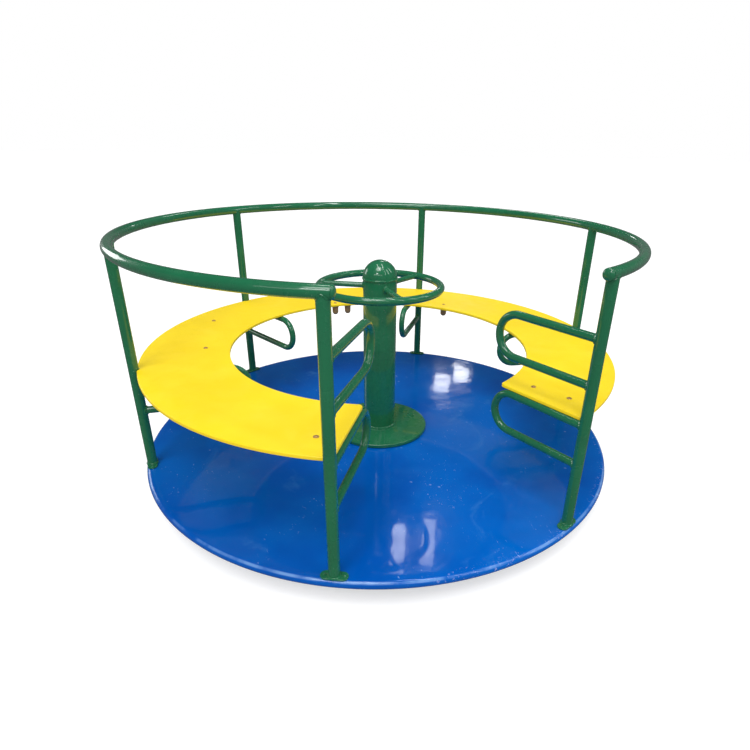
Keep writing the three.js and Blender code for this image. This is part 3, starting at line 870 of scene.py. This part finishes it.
# ---- Centre post, cover and hand wheel --------------------------------------------------------
def add_post():
    """A pipe, with a weld bead round it where it leaves the rain cover."""
    outline = rounded([
        (POST_RADIUS - POST_WALL, POST_LOW, 0),
        (POST_RADIUS, POST_LOW, 0),
        (POST_RADIUS, POST_TOP, 0.001),
        (POST_RADIUS - POST_WALL, POST_TOP, 0.001),
    ])
    pipe = turned(outline, 96)
    bead = ring_weld(POST_RADIUS, COVER_TOP + 0.0008, 0.0062)
    piece("post_pipe", [pipe, bead], GREEN, PEDESTAL, ["centre_post"])


def add_cap():
    """A pressed dome with a small lip that sits on the pipe's end."""
    base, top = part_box("post_cap")[0].z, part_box("post_cap")[1].z
    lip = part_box("post_cap")[1].x
    dome_base = base + 0.0072
    dome_radius = POST_RADIUS + 0.0005
    outline = [(0.0, base + 0.001), (POST_RADIUS - 0.008, base + 0.0005)]
    outline += [tuple(point) for point in rounded([
        (POST_RADIUS - 0.007, base, 0),
        (lip, base, 0.0015),
        (lip, base + 0.0060, 0.0022),
        (dome_radius, dome_base, 0),
    ])]
    steps = 24
    for i in range(1, steps):
        angle = math.pi / 2 * i / steps
        outline.append((
            dome_radius * math.cos(angle),
            dome_base + (top - dome_base) * math.sin(angle),
        ))
    outline.append((0.0, top))
    piece("domed_cap", [turned(outline, 96)], GREEN, PEDESTAL, ["post_cap"])


def add_cover():
    """A flat disc with a turned-down skirt, which keeps rain out of the hub."""
    bore = POST_RADIUS + GAP
    under = COVER_TOP - COVER_THICKNESS
    flat = [(bore + (COVER_RADIUS - 0.006 - bore) * i / 8, COVER_TOP, 0) for i in range(9)]
    outline = rounded([
        (bore, under, 0),
        *flat,
        (COVER_RADIUS, COVER_TOP, 0.0040),
        (COVER_RADIUS, COVER_LOW, 0.0006),
        (COVER_RADIUS - COVER_THICKNESS, COVER_LOW, 0.0006),
        (COVER_RADIUS - COVER_THICKNESS, under, 0.0010),
    ], 6)
    piece("hub_rain_cover", [turned(outline, 160)], GREEN, PEDESTAL, ["hub_cover"], True)


def add_wheel():
    """A ring of tube on three spokes, welded at both ends of each."""
    steps = 144
    path = [polar(WHEEL_RADIUS, 2 * math.pi * i / steps, WHEEL_Z) for i in range(steps)]
    rim = swept(path, WHEEL_TUBE, 32, Vector((0, 0, 1)), True)
    piece("hand_wheel_rim", [rim], GREEN, PEDESTAL, ["wheel_rim"])
    for number in range(1, SPOKE_COUNT + 1):
        azimuth = math.radians(FIRST_SPOKE + 360 / SPOKE_COUNT * (number - 1))
        out = polar(1, azimuth)
        start, end = POST_RADIUS - 0.003, WHEEL_RADIUS - WHEEL_TUBE * 0.5
        level = Vector((0, 0, WHEEL_Z))
        path = [level + out * (start + (end - start) * i / 8) for i in range(9)]
        bar = swept(path, SPOKE_TUBE, 28, Vector((0, 0, 1)))
        post_bead = branch_weld(level, out, SPOKE_TUBE, POST_RADIUS, 0.0034)
        piece(
            f"hand_wheel_spoke_{number}",
            [bar, post_bead, wheel_bead(level, out)],
            GREEN,
            PEDESTAL,
            [f"wheel_spoke_{number}"],
        )


def wheel_bead(level, out):
    """The weld between a spoke and the wheel's rim."""
    lateral = Vector((0, 0, 1)).cross(out)
    steps = 64
    path = []
    for i in range(steps):
        angle = 2 * math.pi * i / steps
        u, v = SPOKE_TUBE * math.cos(angle), SPOKE_TUBE * math.sin(angle)
        reach = math.sqrt(WHEEL_RADIUS ** 2 - u * u) - math.sqrt(WHEEL_TUBE ** 2 - v * v)
        path.append(level + lateral * u + Vector((0, 0, v)) + out * reach)
    return weld(path, 0.0030, out)


# ---- Parts inside and below -------------------------------------------------------------------
def finish_inner_parts():
    """The CAD shapes of the spindle, bearings and sockets are right, and get their real metals."""
    metals = {
        TURNED: ["spindle", "bearing_spacer"],
        GROUND: [
            "lower_bearing_inner_race",
            "upper_bearing_inner_race",
            "lower_bearing_outer_race",
            "upper_bearing_outer_race",
            "lower_bearing_cage",
            "upper_bearing_cage",
        ],
        ZINC: ["post_lower_socket", "post_upper_socket", "spindle_washer", "spindle_nut"],
        RUBBER: ["hub_seal"],
    }
    for material, nodes in metals.items():
        for node in nodes:
            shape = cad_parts[node]
            for slot in shape.material_slots:
                slot.link = "OBJECT"
                slot.material = material


def add_hub():
    """The turning hub, with chamfered ends and the shoulder between its two bearings."""
    low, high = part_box("hub_housing")
    outline = rounded([
        (HUB_BORE, low.z, 0.0008),
        (HUB_RADIUS, low.z, 0.0020),
        (HUB_RADIUS, high.z, 0.0015),
        (HUB_BORE, high.z, 0.0008),
        (HUB_BORE, SHOULDER_HIGH, 0),
        (HUB_SHOULDER, SHOULDER_HIGH, 0),
        (HUB_SHOULDER, SHOULDER_LOW, 0),
        (HUB_BORE, SHOULDER_LOW, 0),
    ])
    piece("hub_casting", [turned(outline, 96)], PRIMER, CAROUSEL, ["hub_housing"], True)


def add_base():
    """A round plate with holes for the ground anchors."""
    low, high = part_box("base_plate")
    plate = plate_with_holes(high.x, low.z, high.z)
    piece("ground_plate", [plate], ZINC, PEDESTAL, ["base_plate"], True)


def plate_with_holes(radius, bottom, top):
    """The plate's plan, filled between its outlines, drawn up to the top, with bevelled edges."""
    shape = bmesh.new()

    def outline(centre, size, sides):
        corners = [
            shape.verts.new(centre + polar(size, 2 * math.pi * i / sides))
            for i in range(sides)
        ]
        return [shape.edges.new((corners[i], corners[(i + 1) % sides])) for i in range(sides)]

    edges = outline(Vector((0, 0, bottom)), radius, 192)
    for number in range(ANCHOR_COUNT):
        azimuth = math.radians(45 + 360 / ANCHOR_COUNT * number)
        edges += outline(polar(ANCHOR_CIRCLE, azimuth, bottom), ANCHOR_HOLE, 24)
    filled = bmesh.ops.triangle_fill(shape, use_beauty=True, edges=edges)
    faces = [element for element in filled["geom"] if isinstance(element, bmesh.types.BMFace)]
    grown = bmesh.ops.extrude_face_region(shape, geom=faces)
    for element in grown["geom"]:
        if isinstance(element, bmesh.types.BMVert):
            element.co.z = top
    bmesh.ops.recalc_face_normals(shape, faces=shape.faces)
    sharp = [edge for edge in shape.edges if len(edge.link_faces) == 2 and edge.calc_face_angle() > 1.2]
    ridge = [edge for edge in sharp if abs(edge.verts[0].co.z - edge.verts[1].co.z) < 1e-6]
    bmesh.ops.bevel(shape, geom=ridge, offset=0.0010, segments=2, affect="EDGES", profile=0.5)
    vertices = [vertex.co.copy() for vertex in shape.verts]
    shape.verts.index_update()
    faces = [tuple(vertex.index for vertex in face.verts) for face in shape.faces]
    shape.free()
    return vertices, faces


# ---- Studio -----------------------------------------------------------------------------------
def add_camera():
    data = bpy.data.cameras.new("camera")
    data.lens = CAMERA_LENS
    data.sensor_width = 36
    data.shift_x, data.shift_y = CAMERA_SHIFT
    camera = bpy.data.objects.new("camera", data)
    bpy.context.scene.collection.objects.link(camera)
    camera.location = polar(CAMERA_RADIUS, math.radians(CAMERA_AZIMUTH), CAMERA_HEIGHT)
    down = math.radians(LOOK_DOWN)
    forward = polar(math.cos(down), math.radians(LOOK_AZIMUTH), -math.sin(down))
    roll = Quaternion((0, 0, 1), math.radians(CAMERA_ROLL))
    camera.rotation_mode = "QUATERNION"
    camera.rotation_quaternion = forward.to_track_quat("-Z", "Y") @ roll
    bpy.context.scene.camera = camera


def add_floor():
    """A pale, matt floor that throws less light up at the object than it shows to the camera."""
    made = Finish("studio_floor", Specular_IOR_Level=0.2)
    made.set("Emission Color", (1.0, 1.0, 1.0, 1.0))
    rays = made.node("ShaderNodeLightPath")
    made.set("Emission Strength", made.maths("MULTIPLY", rays.outputs["Is Camera Ray"], 0.58))
    clouds = made.span(made.noise(1.3, 3), 0.3, 0.7)
    made.set("Base Color", made.mix(clouds, (0.51, 0.51, 0.508), (0.53, 0.53, 0.528)))
    made.set("Roughness", made.span(made.noise(30, 3), 0.3, 0.7, 0.75, 0.9))
    mesh = bpy.data.meshes.new("studio_floor")
    size = 60
    corners = [(-size, -size, 0), (size, -size, 0), (size, size, 0), (-size, size, 0)]
    mesh.from_pydata(corners, [], [(0, 1, 2, 3)])
    mesh.materials.append(made.material)
    floor = bpy.data.objects.new("studio_floor", mesh)
    floor.location.z = -0.0005
    floor.visible_glossy = False
    bpy.context.scene.collection.objects.link(floor)


def add_softbox(name, place, target, width, height, power):
    """A soft light of limited size, which shows as a highlight on gloss and is not seen itself."""
    data = bpy.data.lights.new(name, "AREA")
    data.shape = "RECTANGLE"
    data.size = width
    data.size_y = height
    data.energy = power
    lamp = bpy.data.objects.new(name, data)
    lamp.location = place
    lamp.rotation_mode = "QUATERNION"
    lamp.rotation_quaternion = (Vector(target) - Vector(place)).to_track_quat("-Z", "Y")
    lamp.visible_camera = False
    bpy.context.scene.collection.objects.link(lamp)


def add_sun(name, place, spread, strength, in_gloss):
    """A wide, even light from far away, so that the floor is as bright far off as it is close by."""
    data = bpy.data.lights.new(name, "SUN")
    data.angle = math.radians(spread)
    data.energy = strength
    lamp = bpy.data.objects.new(name, data)
    lamp.rotation_mode = "QUATERNION"
    lamp.rotation_quaternion = (-Vector(place)).to_track_quat("-Z", "Y")
    lamp.visible_glossy = in_gloss
    bpy.context.scene.collection.objects.link(lamp)


def add_sky():
    """A white backdrop. Pale walls and a dimmer ceiling light the object, faintly in the gloss."""
    world = bpy.data.worlds.new("studio")
    bpy.context.scene.world = world
    world.use_nodes = True
    tree = world.node_tree
    place = tree.nodes.new("ShaderNodeTexCoord")
    axes = tree.nodes.new("ShaderNodeSeparateXYZ")
    ramp = tree.nodes.new("ShaderNodeValToRGB")
    tree.links.new(place.outputs["Generated"], axes.inputs[0])
    tree.links.new(axes.outputs[2], ramp.inputs[0])
    ramp.color_ramp.interpolation = "EASE"
    stops = ramp.color_ramp.elements
    stops[0].position, stops[0].color = 0.16, (0.92, 0.93, 0.94, 1.0)
    stops[1].position, stops[1].color = 0.34, (0.30, 0.31, 0.32, 1.0)
    top = stops.new(1.0)
    top.color = (0.20, 0.21, 0.22, 1.0)
    rays = tree.nodes.new("ShaderNodeLightPath").outputs
    flags = tree.nodes.new("ShaderNodeMapRange")
    tree.links.new(rays["Is Glossy Ray"], flags.inputs["Value"])
    flags.inputs["To Min"].default_value = 1.0
    flags.inputs["To Max"].default_value = 0.16
    room = tree.nodes["Background"]
    tree.links.new(ramp.outputs[0], room.inputs["Color"])
    tree.links.new(flags.outputs["Result"], room.inputs["Strength"])
    backdrop = tree.nodes.new("ShaderNodeBackground")
    backdrop.inputs["Color"].default_value = (1.0, 1.0, 1.0, 1.0)
    seen = tree.nodes.new("ShaderNodeMixShader")
    tree.links.new(rays["Is Camera Ray"], seen.inputs[0])
    tree.links.new(room.outputs[0], seen.inputs[1])
    tree.links.new(backdrop.outputs[0], seen.inputs[2])
    tree.links.new(seen.outputs[0], tree.nodes["World Output"].inputs["Surface"])


def add_studio():
    """Two suns for even light, and softboxes that draw the highlights on the paint."""
    add_sky()
    add_floor()
    add_sun("key_sun", (-0.6, -0.85, 2.2), 30, 1.35, True)
    add_sun("fill_sun", (0.6, 0.3, 2.2), 150, 1.3, False)
    add_softbox("key_softbox", (-2.2, -2.6, 3.0), (0, 0, 0.4), 0.7, 0.4, 16)
    add_softbox("front_strip", (-1.9, -3.2, 2.5), (0, 0, 0.5), 4.4, 0.22, 18)
    add_softbox("left_panel", (-3.7, 4.1, 1.9), (-0.8, 0, 0.85), 1.9, 1.6, 34)
    for number in range(3):
        angle = math.radians(-66 + 26 * number)
        place = (3.3 * math.cos(angle), 3.3 * math.sin(angle), 3.1)
        add_softbox(f"side_strip_{number + 1}", place, (0, 0, 0.8), 0.15, 2.1, 13)
    for side in (-1, 1):
        x = 3.80 + side * 0.30
        add_softbox(f"far_window_{side + 2}", (x, 7.3 + side * 0.2, 3.4), (0, 0, 0.1), 0.30, 0.34, 2.6)
        x = 1.30 + side * 0.20
        add_softbox(f"back_strip_{side + 2}", (x, 2.8, 3.4), (0, 0, 0.1), 0.16, 0.60, 2.4)
    for side in (-1, 1):
        x = side * 0.55
        add_softbox(f"ceiling_strip_{side + 2}", (x, -0.4, 3.6), (x, -0.4, 0), 0.10, 2.6, 13)


bpy.context.scene.view_settings.view_transform = "Standard"
add_camera()
add_studio()
add_platform()
add_arms()
add_hub()
add_base()
finish_inner_parts()
add_post()
add_cap()
add_cover()
add_wheel()
add_uprights()
add_brackets()
add_rail()
add_seat()
add_seat_bolts()
